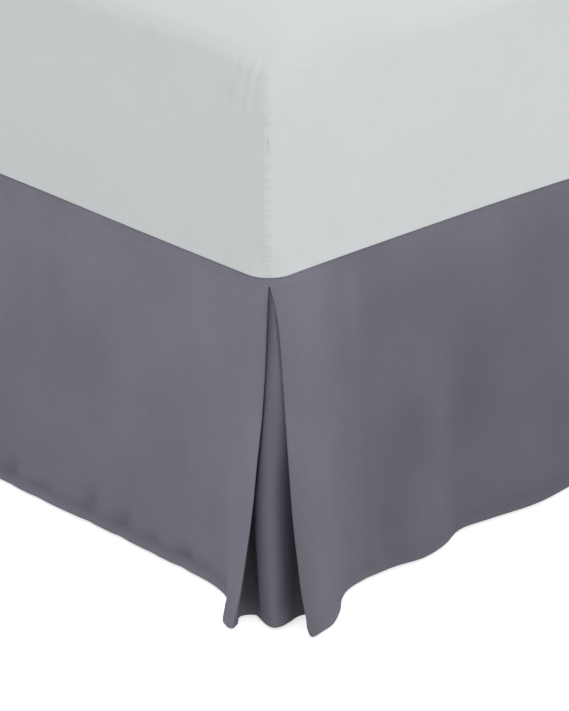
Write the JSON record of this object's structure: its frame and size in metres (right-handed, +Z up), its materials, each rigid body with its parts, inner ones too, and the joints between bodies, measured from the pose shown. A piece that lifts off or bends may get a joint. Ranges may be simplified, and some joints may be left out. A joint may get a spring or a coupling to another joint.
{
  "type": "bed skirt on a bed with its box spring and mattress",
  "caption": "Tailored bed skirt with an inverted corner pleat at the foot, hanging under a mattress and over a box spring on legs.",
  "frame": {"origin": "on the floor, under the middle of the whole part's outline", "axes": "+Y towards the head of the bed, +Z up, +X towards the right side as seen from the foot"},
  "size_m": [1.685, 2.0984, 0.6458],
  "materials": {
    "skirt_cloth": "brushed microfibre",
    "fitted_sheet": "plain woven cotton",
    "box_spring_cover": "plain woven ticking",
    "leg_wood": "dark stain, satin"
  },
  "bodies": {
    "root": {"drop_foot": "skirt_cloth", "drop_right": "skirt_cloth", "drop_left": "skirt_cloth", "deck": "skirt_cloth", "mattress": "fitted_sheet", "box_spring": "box_spring_cover", "leg_foot_left": "leg_wood", "leg_foot_right": "leg_wood", "leg_middle_left": "leg_wood", "leg_middle_right": "leg_wood", "leg_head_left": "leg_wood", "leg_head_right": "leg_wood"}
  },
  "joints": []
}
